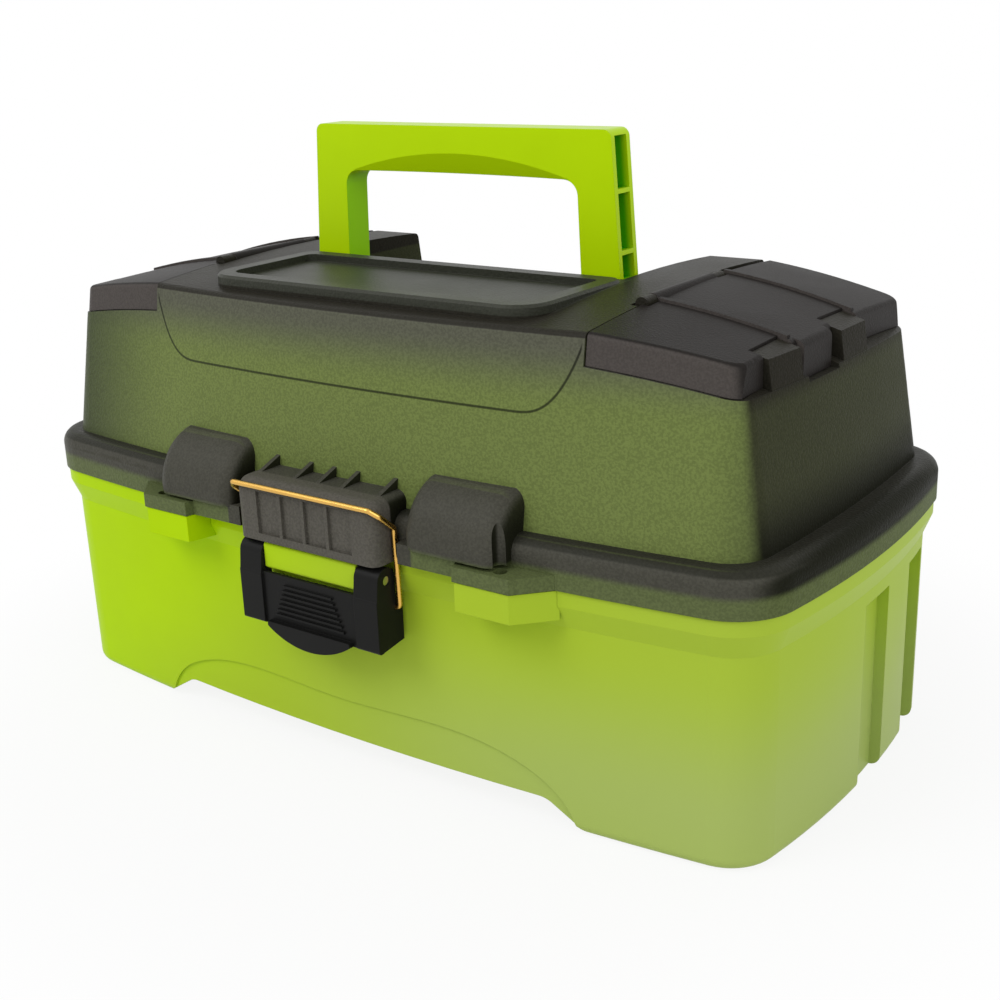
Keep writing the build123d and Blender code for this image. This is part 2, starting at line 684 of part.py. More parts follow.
def grip_scoop(y0):
    # a sloping arch takes off the grip's lower front edge
    half = HANDLE_HALF_FOOT - HANDLE_LEAN - HANDLE_LEG_TOP - ARCH_INSET
    ends = (-half, y0, GRIP_FOOT), (half, y0, GRIP_FOOT)
    arc = ThreePointArc(ends[0], (0, y0, GRIP_FOOT + ARCH_RISE), ends[1])
    face = make_face([arc, Line(ends[1], ends[0])])
    slope = Vector(0, ARCH_DEPTH, -ARCH_RISE)
    return extrude(face, slope.length, dir=slope.normalized())


def handle_cups(y0, y1):
    # ribbed hollows in the outer sides of the legs
    foot, top = HANDLE_AXIS_Z + HANDLE_CUP_FOOT, HANDLE_TOP - HANDLE_SKIN
    ribs = [foot + share * (top - foot) for share in HANDLE_RIB_SHARES]
    steps = (foot - HANDLE_RIB / 2, *ribs, top + HANDLE_RIB / 2)
    floor = HANDLE_HALF_FOOT - HANDLE_LEG + HANDLE_SKIN
    cups = Part()
    for low, high in zip(steps, steps[1:]):
        cups += block(floor, FAR, y0 + HANDLE_SKIN, y1 - HANDLE_SKIN, low + HANDLE_RIB / 2,
                      high - HANDLE_RIB / 2)
    return both(cups)


def handle():
    y0, y1 = HANDLE_Y - HANDLE_DEPTH / 2, HANDLE_Y + HANDLE_DEPTH / 2
    foot, top = HANDLE_HALF_FOOT, HANDLE_HALF_FOOT - HANDLE_LEAN
    right = [
        (top, HANDLE_TOP),
        (foot, HANDLE_AXIS_Z),
        (foot - HANDLE_LEG, HANDLE_AXIS_Z),
        (top - HANDLE_LEG_TOP, GRIP_FOOT),
    ]
    frame = slab_y(right + [(-x, z) for x, z in reversed(right)], y0, y1)
    upper = frame.edges().filter_by(Axis.Y).group_by(Axis.Z)[-1]
    frame = fillet(upper, HANDLE_ROUND)
    corners = [e for e in frame.edges().filter_by(Axis.Y) if abs(e.center().Z - GRIP_FOOT) < RUNNING]
    frame = fillet(corners, HANDLE_CORNER)
    frame += both(rod(foot - HANDLE_LEG, foot, HANDLE_Y, HANDLE_AXIS_Z, HANDLE_DEPTH / 2))
    frame -= grip_scoop(y0)
    frame -= handle_cups(y0, y1)
    bore = rod(TROUGH_HALF - HANDLE_PIN_IN - GAP, FAR, HANDLE_Y, HANDLE_AXIS_Z, HANDLE_PIN_R + RUNNING)
    return frame - both(bore)


def handle_pin():
    return rod(TROUGH_HALF - HANDLE_PIN_IN, TROUGH_HALF + HANDLE_PIN_OUT, HANDLE_Y, HANDLE_AXIS_Z,
               HANDLE_PIN_R)


def hinge_pin(r):
    return rod(KNUCKLES[0] - HINGE_PIN_PROUD, KNUCKLES[3] + HINGE_PIN_PROUD, HINGE_Y, HINGE_Z, r)


def pair(shape):
    return Compound(children=[shape, mirrored(shape)])


def finger_lip():
    # a rounded lip under the plate
    front, z = LEVER_FRONT - LIP_FRONT, LEVER_PLATE_Z[0]
    ends = (-LIP_HALF, front, z), (LIP_HALF, front, z)
    arc = ThreePointArc(ends[0], (0, front, z - LIP_DROP), ends[1])
    top = z + 2 * OVERLAP
    upper = [(ends[1][0], front, top), (ends[0][0], front, top)]
    face = make_face([arc, Line(ends[1], upper[0]), Line(*upper), Line(upper[1], ends[0])])
    return extrude(face, LIP_FRONT + LEVER_SKIN, dir=(0, 1, 0))


def lever_side():
    # cheek and arm at one end of the lever
    z0, z1 = LEVER_PLATE_Z
    ear_front, ear_back = LEVER_Y - LEVER_EAR_R, LEVER_Y + LEVER_EAR_R
    cheek = [
        (LEVER_FRONT + OVERLAP, z0),
        (LEVER_BACK, z0 + 2 * OVERLAP),
        (LEVER_BACK, BAIL_PIVOT[1] + 2 * OVERLAP),
        (ear_back - FINE_GAP, z1),
        (ear_back - FINE_GAP, LEVER_Z),
        (ear_front, LEVER_Z),
        (LEVER_FRONT + OVERLAP, z1),
    ]
    arm = [
        (LEVER_FRONT, z1 - LEVER_SKIN),
        (ear_front, LEVER_Z),
        (ear_back, LEVER_Z),
        (LEVER_FRONT + LEVER_SKIN, z1 - LEVER_SKIN),
    ]
    side = slab_x(cheek, LATCH_HALF - LEVER_SKIN, LATCH_HALF)
    side += slab_x(arm, LEVER_ARM, LATCH_HALF)
    return side + rod(LEVER_ARM, LATCH_HALF, LEVER_Y, LEVER_Z, LEVER_EAR_R)


def latch_lever():
    z0, z1 = LEVER_PLATE_Z
    lever = block(-LATCH_HALF, LATCH_HALF, LEVER_FRONT, LEVER_FRONT + LEVER_SKIN, z0, z1)
    lever = fillet(lever.edges().filter_by(Axis.X).group_by(Axis.Y)[0], LEVER_ROUND)
    field = LEVER_FRONT + FIELD_DEPTH
    lever -= block(-LEVER_ARM, LEVER_ARM, LEVER_FRONT - OVERLAP, field, z0 - OVERLAP, z1 + OVERLAP)
    lever += both(lever_side())
    lever += finger_lip()
    for step in range(GRIP_RIBS):
        z = z0 + GRIP_START + step * GRIP_PITCH
        half = GRIP_HALF - step
        lever += block(-half, half, field - GRIP_RIB, field + OVERLAP, z, z + GRIP_RIB)
    end = LATCH_HALF + OVERLAP
    lever -= rod(-end, end, LEVER_Y, LEVER_Z, LEVER_PIN_R + RUNNING)
    return lever - rod(-end, end, *BAIL_PIVOT, BAIL_R + RUNNING)


def latch_pin():
    half = LATCH_HALF - GAP
    return rod(-half, half, LEVER_Y, LEVER_Z, LEVER_PIN_R)


def latch_bail():
    # a bent wire: in at the lever's cheeks, up beside the block and over its top edge
    inner = LATCH_HALF - LEVER_SKIN - OVERLAP
    y, z = BAIL_TOP
    right = [
        (inner, *BAIL_PIVOT),
        (BAIL_HALF, *BAIL_PIVOT),
        (BAIL_HALF, *BAIL_KNEE),
        (BAIL_HALF, y + BAIL_CORNER, z - BAIL_CORNER),
        (BAIL_HALF - BAIL_CORNER, y, z),
    ]
    left = [(-x, depth, height) for x, depth, height in reversed(right)]
    path = FilletPolyline(*right, *left, radius=BAIL_BEND)
    ring = Plane(origin=path @ 0, z_dir=path % 0) * Circle(BAIL_R)
    return sweep(ring, path=path)


def tray_rows(tray):
    y0, y1, z0, z1 = tray
    middle = (y0 + y1) / 2
    half = TRAY_WALL / 2
    return ((y0 + TRAY_WALL, middle - half), (middle + half, y1 - TRAY_WALL))


def divider_places(count):
    pitch = 2 * (TRAY_HALF - TRAY_WALL) / (count + 1)
    return [-TRAY_HALF + TRAY_WALL + pitch * (i + 1) for i in range(count)]


def tray_room(size, row, count):
    # one row of the tray, less the guides that hold its dividers
    y0, y1, z0, z1 = size
    a, b = row
    end = TRAY_HALF - TRAY_WALL
    room = block(-end, end, a, b, z0 + TRAY_WALL, z1 + OVERLAP)
    corners = room.edges().filter_by(Axis.Z).group_by(Axis.Y)
    room = fillet(corners[0] if a - y0 < y1 - b else corners[-1], TRAY_CORNER - TRAY_WALL)
    slot = DIVIDER / 2 + DIVIDER_FIT
    guides = []
    for x in divider_places(count):
        for left in (x - slot - GUIDE, x + slot):
            for y in (a, b - GUIDE):
                guides.append(block(left, left + GUIDE, y, y + GUIDE, z0, z1 - DIVIDER_DROP))
    return room - guides


def tray(size, counts, pins, ears):
    y0, y1, z0, z1 = size
    body = block(-TRAY_HALF, TRAY_HALF, y0, y1, z0, z1)
    body = fillet(body.edges().filter_by(Axis.Z), TRAY_CORNER)
    body = fillet(body.edges().group_by(Axis.Z)[0], TRAY_ROUND)
    for row, count in zip(tray_rows(size), counts):
        body -= tray_room(size, row, count)
    inside = TRAY_HALF - TRAY_WALL
    for y, z in ears:
        ear = rod(inside, TRAY_HALF, y, z, POST_R)
        web = block(inside, TRAY_HALF, y1 - TRAY_CORNER, y, z - POST_R, z + POST_R)
        body += both(ear + web)
    for y, z in pins:
        body -= both(rod(inside - OVERLAP, TRAY_HALF + OVERLAP, y, z, PIN_R))
    return body


def dividers(size, counts):
    y0, y1, z0, z1 = size
    plates = []
    for (a, b), count in zip(tray_rows(size), counts):
        for x in divider_places(count):
            plates.append(block(x - DIVIDER / 2, x + DIVIDER / 2, a + DIVIDER_FIT, b - DIVIDER_FIT,
                                z0 + TRAY_WALL, z1 - DIVIDER_DROP))
    return Compound(children=plates)


def tray_pins(arm_pin, lid_pin):
    inside = TRAY_HALF - TRAY_WALL
    outside = ARM_X[1] + FINE_GAP
    y, z = arm_pin
    front = rod(inside - PIN_HEAD, inside, y, z, PIN_HEAD_R)
    front += rod(inside, outside, y, z, PIN_R)
    front += rod(outside, outside + PIN_HEAD, y, z, PIN_HEAD_R)
    y, z = lid_pin
    rear = rod(inside - PIN_HEAD, inside, y, z, PIN_HEAD_R)
    rear += rod(inside, TRAY_HALF + LID_PIN_REACH, y, z, PIN_R)
    return Compound(children=[front, mirrored(front), rear, mirrored(rear)])


def right_arm():
    y0, z0 = ARM_PIVOT
    y1, z1 = UPPER_ARM_PIN
    dy, dz = y1 - y0, z1 - z0
    span = (dy * dy + dz * dz) ** 0.5
    ny, nz = -dz / span * ARM_HALF_WIDTH, dy / span * ARM_HALF_WIDTH
    bar = [(y0 + ny, z0 + nz), (y1 + ny, z1 + nz), (y1 - ny, z1 - nz), (y0 - ny, z0 - nz)]
    arm = slab_x(bar, *ARM_X)
    for y, z in (ARM_PIVOT, UPPER_ARM_PIN):
        arm += rod(*ARM_X, y, z, ARM_HALF_WIDTH)
    for y, z in (ARM_PIVOT, LOWER_ARM_PIN, UPPER_ARM_PIN):
        arm -= rod(ARM_X[0] - OVERLAP, ARM_X[1] + OVERLAP, y, z, PIN_R + RUNNING)
    return arm


def arm_pin():
    y, z = ARM_PIVOT
    inside = ARM_X[0] - FINE_GAP
    pin = rod(inside - PIN_HEAD, inside, y, z, PIN_HEAD_R)
    return pin + rod(inside, ARM_X[1] + PIN_SEAT, y, z, PIN_R)


nodes = {
    "base_tub": base_tub(),
    "lid_shell": lid_shell(),
    "hinge_pins": pair(hinge_pin(HINGE_PIN_R)),
    "handle": handle(),
    "handle_pins": pair(handle_pin()),
    "latch_lever": latch_lever(),
    "latch_pin": latch_pin(),
    "latch_bail": latch_bail(),
    "lower_tray": tray(LOWER_TRAY, LOWER_COUNTS, (LOWER_ARM_PIN, LOWER_LID_PIN), (LOWER_LID_PIN,)),
    "upper_tray": tray(UPPER_TRAY, UPPER_COUNTS, (UPPER_ARM_PIN, UPPER_LID_PIN), ()),
    "lower_tray_dividers": dividers(LOWER_TRAY, LOWER_COUNTS),
    "upper_tray_dividers": dividers(UPPER_TRAY, UPPER_COUNTS),
    "lower_tray_pins": tray_pins(LOWER_ARM_PIN, LOWER_LID_PIN),
    "upper_tray_pins": tray_pins(UPPER_ARM_PIN, UPPER_LID_PIN),
    "arm_pins": pair(arm_pin()),
    "base_lugs": pair(base_lug()),
    "lid_lugs": pair(lid_lug()),
}
for name, shape in (("arm", right_arm()), ("top_cover", right_cover()), ("cover_pin", cover_pin())):
    nodes["right_" + name] = shape
    nodes["left_" + name] = mirrored(shape)

for name, shape in nodes.items():
    export_step(shape, "parts/" + name + ".step")
    print(name, "solids", len(shape.solids()), "volume", round(shape.volume))
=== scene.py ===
# %% [markdown]
# # A fishing tackle box on a white sweep
# The solids of the box are loaded as a fixed frame: a green tub, a smoke-tinted lid, two flip-up
# covers, a carry handle, a latch with a brass wire and two trays inside. This lesson gives every
# piece its moulded finish, adds the small repeated ribs inside the trays, lights the box softly
# and sets the camera where the picture was taken.

# %% Load the frame
import json
import math

import bmesh
import bpy
from mathutils import Matrix, Vector


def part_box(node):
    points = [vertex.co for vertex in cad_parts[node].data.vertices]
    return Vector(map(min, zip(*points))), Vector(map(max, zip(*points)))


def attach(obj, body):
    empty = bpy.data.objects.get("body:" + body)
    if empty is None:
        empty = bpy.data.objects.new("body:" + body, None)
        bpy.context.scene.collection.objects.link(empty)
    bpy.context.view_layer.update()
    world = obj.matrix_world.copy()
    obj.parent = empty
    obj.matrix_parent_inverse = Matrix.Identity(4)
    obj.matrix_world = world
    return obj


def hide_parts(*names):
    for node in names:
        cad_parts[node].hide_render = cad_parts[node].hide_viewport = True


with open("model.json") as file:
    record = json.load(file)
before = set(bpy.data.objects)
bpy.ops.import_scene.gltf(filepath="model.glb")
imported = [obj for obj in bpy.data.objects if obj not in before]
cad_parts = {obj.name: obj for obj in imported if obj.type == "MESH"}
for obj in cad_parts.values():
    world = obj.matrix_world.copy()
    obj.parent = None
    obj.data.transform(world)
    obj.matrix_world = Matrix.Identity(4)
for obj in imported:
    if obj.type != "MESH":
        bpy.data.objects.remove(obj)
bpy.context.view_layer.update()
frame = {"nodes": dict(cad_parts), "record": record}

MM = 0.001

# %% [markdown]
# ## Colours
# Colours are easiest to judge as screen values, from 0 to 255, but shaders work in linear light.
# One helper turns the first into the second. A colour picker could do it by hand, but then the
# values in the script would no longer be the ones that are seen.

# %% Screen colours to linear light


def linear(red, green, blue):
    # the screen's curve: a short straight foot, then a power
    values = []
    for level in (red, green, blue):
        share = level / 255
        values.append(share / 12.92 if share <= 0.04045 else ((share + 0.055) / 1.055) ** 2.4)
    return (*values, 1.0)


WHITE = linear(255, 255, 255)
print("middle grey in linear light:", round(linear(128, 128, 128)[0], 3))

# %% [markdown]
# ## Small helpers for node trees
# A shader is a graph. These helpers keep the graphs short to write: one adds a node with its
# inputs, one measures a soft step along an axis, and one blends two colours by such a step. The
# finished materials are kept in one dictionary, by the kind of piece that they belong to.

# %% Node helpers


def plug(tree, socket, value):
    if isinstance(value, bpy.types.NodeSocket):
        tree.links.new(value, socket)
    else:
        socket.default_value = value


def add(tree, kind, settings=(), **inputs):
    made = tree.nodes.new("ShaderNode" + kind)
    for name, value in dict(settings).items():
        setattr(made, name, value)
    for name, value in inputs.items():
        plug(tree, made.inputs[name.replace("_", " ")], value)
    return made


def soft_step(tree, value, start, stop):
    # 0 before start, 1 after stop, smooth between them
    made = add(tree, "MapRange", {"interpolation_type": "SMOOTHSTEP"}, Value=value)
    made.inputs["From Min"].default_value = start
    made.inputs["From Max"].default_value = stop
    return made.outputs["Result"]


def combine(tree, operation, first, second=0.0):
    made = add(tree, "Math", {"operation": operation})
    plug(tree, made.inputs[0], first)
    plug(tree, made.inputs[1], second)
    return made.outputs["Value"]


def product(tree, *values):
    result = values[0]
    for value in values[1:]:
        result = combine(tree, "MULTIPLY", result, value)
    return result


def blend_colours(tree, share, first, second):
    # the node keeps its colour sockets behind those for numbers and vectors
    made = add(tree, "Mix", {"data_type": "RGBA"})
    factor, _, _, _, _, _, a, b = made.inputs[:8]
    for socket, value in ((factor, share), (a, first), (b, second)):
        plug(tree, socket, value)
    return made.outputs[2]


def new_material(name):
    made = bpy.data.materials.new(name)
    made.use_nodes = True
    tree = made.node_tree
    shader = tree.nodes["Principled BSDF"]
    place = add(tree, "TexCoord").outputs["Object"]
    return made, tree, shader, place


FINISHES = {}


def keep_finish(slot, made):
    FINISHES[slot] = made
    print(slot, "is", made.name, "with", len(made.node_tree.nodes), "nodes")


slot_of = {row["node"]: row["material_slot"] for row in frame["record"]["subparts"]}
print("finishes to make:", sorted(set(slot_of.values())))

# %% [markdown]
# ## Moulded plastic
# Injection-moulded plastic has three marks: a fine spark-eroded grain pressed in by the mould,
# edges that are never quite sharp, and a gloss that changes a little from place to place. The
# grain is a noise texture read as height, and the Bevel node rounds the edges in the shading. Real
# bevels would cost many faces on every rib, and at this size only their highlight is seen.

# %% Grain, soft edges and uneven gloss
EDGE_SOFTNESS = 0.35 * MM
CLOUD_SCALE = 35.0
GLOSS_SPREAD = 0.06


def mould_surface(tree, shader, place, grain, depth, gloss, shine, tint=WHITE):
    edges = add(tree, "Bevel", {"samples": 4}, Radius=EDGE_SOFTNESS)
    speckle = add(tree, "TexNoise", Vector=place, Scale=1 / grain, Detail=2.0, Roughness=0.55)
    bump = add(tree, "Bump", Height=speckle.outputs["Fac"], Distance=depth, Strength=1.0)
    plug(tree, bump.inputs["Normal"], edges.outputs["Normal"])
    plug(tree, shader.inputs["Normal"], bump.outputs["Normal"])
    cloud = add(tree, "TexNoise", Vector=place, Scale=CLOUD_SCALE, Detail=4.0).outputs["Fac"]
    spread = add(tree, "MapRange", Value=cloud)
    spread.inputs["To Min"].default_value = gloss - GLOSS_SPREAD
    spread.inputs["To Max"].default_value = gloss + GLOSS_SPREAD
    plug(tree, shader.inputs["Roughness"], spread.outputs["Result"])
    plug(tree, shader.inputs["Specular IOR Level"], shine)
    shader.inputs["Specular Tint"].default_value = tint
    return cloud, speckle.outputs["Fac"]


def mottled(tree, cloud, colour, share=0.12):
    # slight cloudiness in the colour, as in tinted plastic
    paler = tuple(min(1.0, c * (1 + share)) for c in colour[:3]) + (1.0,)
    deeper = tuple(c * (1 - share) for c in colour[:3]) + (1.0,)
    return blend_colours(tree, cloud, deeper, paler)


print("edges are softened by", round(EDGE_SOFTNESS / MM, 2), "mm")

# %% [markdown]
# ## The tub's frosted lime
# The tub is translucent, and the light that comes through it is painted into its colour. Where the
# light comes through, it is a strong lime; along the box it is painted a dimmer lime, as painted
# shade, and low down and towards the right end a painted pale sheen stands for the far wall and the
# floor showing through and the floor's light reflected. The change runs along the box and down it,
# so the colour is blended by place. Clear plastic that scatters light would do the same, but it
# is slow, grainy, and depends on what lies inside.

# %% Tub material
LIME = linear(178, 216, 6)
# painted shade: a dimmer lime for the tub where less light comes through
DIMLY_LIT_LIME = linear(169, 195, 50)
# painted sheen: a paler lime for the floor's light, seen through the wall and reflected
PAINTED_SHEEN_LIME = linear(170, 187, 108)
GREEN_SHEEN = (0.7, 1.0, 0.12, 1)
FADE_LEAN = 1.2
FADE_LEVEL = 60 * MM
FADE_X = (-140 * MM, 20 * MM)
LOW_SHEEN_Z = (90 * MM, 20 * MM)
END_SHEEN_X = (80 * MM, 200 * MM)
END_SHEEN_SHARE = 0.2
SHEEN_X = (-60 * MM, 120 * MM)
SHEEN_SHARE = 0.75


def tub_finish():
    made, tree, shader, place = new_material("frosted_lime")
    cloud, _ = mould_surface(tree, shader, place, grain=0.5 * MM, depth=0.01 * MM, gloss=0.36,
                             shine=0.05, tint=GREEN_SHEEN)
    axes = add(tree, "SeparateXYZ", Vector=place).outputs
    # painted shade: the lime dims along the box, the change leaning with height
    lean = combine(tree, "MULTIPLY", combine(tree, "SUBTRACT", FADE_LEVEL, axes["Z"]), FADE_LEAN)
    along = soft_step(tree, combine(tree, "ADD", axes["X"], lean), *FADE_X)
    colour = blend_colours(tree, along, mottled(tree, cloud, LIME, share=0.04), DIMLY_LIT_LIME)
    # painted sheen: paler low down and towards the right end
    low = soft_step(tree, axes["Z"], *LOW_SHEEN_Z)
    end = product(tree, soft_step(tree, axes["X"], *END_SHEEN_X), END_SHEEN_SHARE)
    pale = combine(tree, "ADD", end, low)
    painted_sheen = product(tree, soft_step(tree, axes["X"], *SHEEN_X), pale, SHEEN_SHARE)
    colour = blend_colours(tree, painted_sheen, colour, PAINTED_SHEEN_LIME)
    plug(tree, shader.inputs["Base Color"], colour)
    return made


keep_finish("green_tub", tub_finish())

# %% [markdown]
# ## The lid's smoke tint
# The lid is smoke-tinted, and the green trays show through its long walls as an olive glow. The
# glow belongs to the walls alone: a face counts as a long wall when its own normal points along
# the depth, and the glow fades upwards, and towards the ends into painted shade. The deck is darker,
# partly by its own tint and partly by painted shade, the end walls are darker the same way, and the
# sunk panel has a pale sheen. The green rim of the tub shows through the skirt, the catch block is
# paler, and the corner above the bead is painted in shade. Each zone is a mask, 1 inside and 0 outside.
# A painted picture could hold the zones too, but masks by place need no map and stay sharp.

# %% Zones of the lid
LONG_WALL_FACING = (0.3, 0.7)
END_FACING = (0.6, 0.95)
ZONE_EDGE = 0.5 * MM
WALL_Z = (128.5 * MM, 206 * MM)
WALL_Y = (55 * MM, 94.5 * MM)
WALL_EDGE = 0.7 * MM
PANEL_X = (-93 * MM, 93 * MM)
PANEL_Y = (-74 * MM, 1 * MM)
PANEL_Z = (210.5 * MM, 216 * MM)
END_RIM_X = (200 * MM, 206 * MM)
DECK_Z = (205.5 * MM, 206.8 * MM)
CLIP_X = (174 * MM, 176 * MM)
CLIP_Z = (180 * MM, 190 * MM)
SKIRT_X = (52.5 * MM, 53.5 * MM)
SKIRT_Z = (120 * MM, 116.5 * MM)
BLOCK_X = (41.5 * MM, 40.5 * MM)
BLOCK_Y = (103 * MM, 104 * MM)
CORNER_Y = (100 * MM, 97 * MM)
CORNER_Z = (126.5 * MM, 129.5 * MM)
CORNER_EDGE = 1.0 * MM


def directions(tree):
    # the way that the surface faces, along each axis of the box
    return add(tree, "SeparateXYZ", Vector=add(tree, "TexCoord").outputs["Normal"]).outputs


def between(tree, value, low, high, soft):
    # 1 from low to high, fading to 0 over the soft width outside
    rise = soft_step(tree, value, low - soft, low)
    fall = soft_step(tree, value, high + soft, high)
    return combine(tree, "MULTIPLY", rise, fall)


def lid_zones(tree, axes, length):
    facing = directions(tree)
    depth = combine(tree, "ABSOLUTE", axes["Y"])
    level = axes["Z"]
    rim_end = soft_step(tree, length, *END_RIM_X)
    clips = product(tree, soft_step(tree, length, *CLIP_X), soft_step(tree, level, *CLIP_Z))
    return {
        "wall": product(
            tree,
            soft_step(tree, combine(tree, "ABSOLUTE", facing["Y"]), *LONG_WALL_FACING),
            between(tree, level, *WALL_Z, ZONE_EDGE),
            between(tree, depth, *WALL_Y, WALL_EDGE),
        ),
        "panel": product(
            tree,
            between(tree, level, *PANEL_Z, ZONE_EDGE),
            between(tree, axes["X"], *PANEL_X, ZONE_EDGE),
            between(tree, axes["Y"], *PANEL_Y, ZONE_EDGE),
        ),
        "rim_end": rim_end,
        "ends": combine(
            tree, "MAXIMUM", soft_step(tree, combine(tree, "ABSOLUTE", facing["X"]), *END_FACING), rim_end
        ),
        "dark": combine(tree, "MAXIMUM", soft_step(tree, level, *DECK_Z), clips),
        "skirt": product(tree, soft_step(tree, level, *SKIRT_Z), soft_step(tree, length, *SKIRT_X)),
        "block": product(tree, soft_step(tree, length, *BLOCK_X), soft_step(tree, depth, *BLOCK_Y)),
        "corner": product(
            tree, between(tree, level, *CORNER_Z, CORNER_EDGE), soft_step(tree, depth, *CORNER_Y)
        ),
    }


print("long walls glow between", [round(level / MM, 1) for level in WALL_Z], "mm above the floor")

# %% [markdown]
# A line is pressed into the front wall: it runs level along the middle and sweeps up to the
# covers at both sides. So its height is the cube of the distance beyond the level stretch. The
# distance to the line is measured across it, so that it keeps its width where it is steep. It is
# drawn as a dark stroke, because a groove this shallow shows as little else.

# %% Line on the lid's front
LINE_LEVEL = 175.5 * MM
LINE_STRAIGHT = 89.0 * MM
LINE_SWEEP = 28.5 * MM
LINE_RISE = 24.0 * MM
LINE_HALF_WIDTH = 0.75 * MM
LINE_CORE = 0.35
LINE_END_X = (119 * MM, 118.5 * MM)
FRONT_Y = (0, -10 * MM)


def pressed_line(tree, length, axes, wall):
    # 1 on the line, 0 away from it
    beyond = combine(tree, "MAXIMUM", combine(tree, "SUBTRACT", length, LINE_STRAIGHT))
    share = combine(tree, "DIVIDE", beyond, LINE_SWEEP)
    rise = combine(tree, "MULTIPLY", combine(tree, "POWER", share, 3.0), LINE_RISE)
    # the slope of a cube is three times the square
    slope = combine(tree, "MULTIPLY", combine(tree, "POWER", share, 2.0), 3 * LINE_RISE / LINE_SWEEP)
    level = combine(tree, "ADD", rise, LINE_LEVEL)
    off = combine(tree, "ABSOLUTE", combine(tree, "SUBTRACT", axes["Z"], level))
    steep = combine(tree, "SQRT", combine(tree, "ADD", product(tree, slope, slope), 1.0))
    away = combine(tree, "DIVIDE", off, steep)
    near = soft_step(tree, away, LINE_HALF_WIDTH, LINE_CORE * LINE_HALF_WIDTH)
    inside = soft_step(tree, length, *LINE_END_X)
    return product(tree, near, wall, soft_step(tree, axes["Y"], *FRONT_Y), inside)


print("line sweeps up from", round(LINE_LEVEL / MM, 1), "to", round((LINE_LEVEL + LINE_RISE) / MM, 1), "mm")

# %% [markdown]
# The colours lie over one another like coats of paint, from the plain smoke tint up to the line.
# Each coat has a mask that says where it covers. A list of coats is easier to change than one
# long chain of nodes: moving a row moves the coat.

# %% Lid material
SMOKE = linear(73, 72, 64)
# partly painted shade: the end walls are darker and more olive than the long walls
END_SMOKE_AND_SHADE = linear(60, 63, 43)
END_SHADE = linear(30, 31, 22)
# partly painted shade: the deck, and the clips at the ends, are darker than the smoke tint
DECK_SMOKE_AND_SHADE = linear(42, 40, 33)
SKIRT_OLIVE = linear(97, 108, 66)
BLOCK_SMOKE = linear(90, 87, 80)
OLIVE = linear(112, 126, 68)
UPPER_OLIVE = linear(90, 91, 77)
SHADED_OLIVE = linear(66, 74, 48)
PANEL_SMOKE = linear(51, 53, 43)
LID_GRAIN = linear(20, 20, 14)
GRAIN_STEP = (0.62, 0.38)
LINE_SHADE = linear(16, 17, 10)
GLOW_Z = (204 * MM, 178 * MM)
LEFT_FADE_X = (-100 * MM, -195 * MM)
RIGHT_FADE_X = (170 * MM, 215 * MM)
END_SHADE_Z = (155 * MM, 130 * MM)
LID_SHINE = 0.08
PANEL_SHINE = 0.12
END_SHINE_LOSS = 0.06
SKIRT_SHARE = 0.9
CORNER_SHARE = 0.7
LID_GRAIN_SHARE = 0.22
LINE_SHARE = 0.8


def glowing_wall(tree, axes):
    colour = blend_colours(tree, soft_step(tree, axes["Z"], *GLOW_Z), UPPER_OLIVE, OLIVE)
    left = soft_step(tree, axes["X"], *LEFT_FADE_X)
    right = soft_step(tree, axes["X"], *RIGHT_FADE_X)
    return blend_colours(tree, combine(tree, "ADD", left, right), colour, SHADED_OLIVE)


def lid_shine(tree, zones):
    raised = combine(tree, "ADD", product(tree, zones["panel"], PANEL_SHINE), LID_SHINE)
    return combine(tree, "SUBTRACT", raised, product(tree, zones["ends"], END_SHINE_LOSS))


def lid_finish():
    made, tree, shader, place = new_material("smoke_tint")
    axes = add(tree, "SeparateXYZ", Vector=place).outputs
    length = combine(tree, "ABSOLUTE", axes["X"])
    zones = lid_zones(tree, axes, length)
    cloud, speckle = mould_surface(tree, shader, place, grain=1.1 * MM, depth=0.3 * MM, gloss=0.42,
                                   shine=lid_shine(tree, zones))
    # painted shade on the end walls, darker low down and on the rim's ends
    shaded_end = blend_colours(tree, soft_step(tree, axes["Z"], *END_SHADE_Z), END_SMOKE_AND_SHADE, END_SHADE)
    shaded_end = blend_colours(tree, zones["rim_end"], shaded_end, END_SHADE)
    grain = soft_step(tree, speckle, *GRAIN_STEP)
    line = pressed_line(tree, length, axes, zones["wall"])
    coats = [
        (zones["ends"], shaded_end),
        (zones["dark"], DECK_SMOKE_AND_SHADE),
        (product(tree, zones["skirt"], SKIRT_SHARE), SKIRT_OLIVE),
        (zones["block"], BLOCK_SMOKE),
        (product(tree, zones["corner"], CORNER_SHARE), END_SHADE),
        (zones["wall"], glowing_wall(tree, axes)),
        (zones["panel"], PANEL_SMOKE),
        (product(tree, grain, LID_GRAIN_SHARE), LID_GRAIN),
        (product(tree, line, LINE_SHARE), LINE_SHADE),
    ]
    colour = mottled(tree, cloud, SMOKE)
    for share, coat in coats:
        colour = blend_colours(tree, share, colour, coat)
    plug(tree, shader.inputs["Base Color"], colour)
    return made


keep_finish("smoke_lid", lid_finish())

# %% [markdown]
# ## Covers and latch
# The covers are the same grey plastic without the glow, and their fronts are painted a little paler
# than their tops, as painted light. Two materials could share them, but then the seam would be a hard
# edge; one material that asks which way the face looks turns softly. The latch is plain satin black.

# %% Covers and latch
DARK_GREY = linear(39, 36, 34)
# painted light: the fronts and backs of the covers are painted paler than their tops
LIT_FASCIA_GREY = linear(78, 73, 70)
COVER_GRAIN = linear(16, 15, 14)
BLACK = linear(22, 22, 21)
FASCIA_FACING = (0.5, 0.9)
COVER_GRAIN_SHARE = 0.18


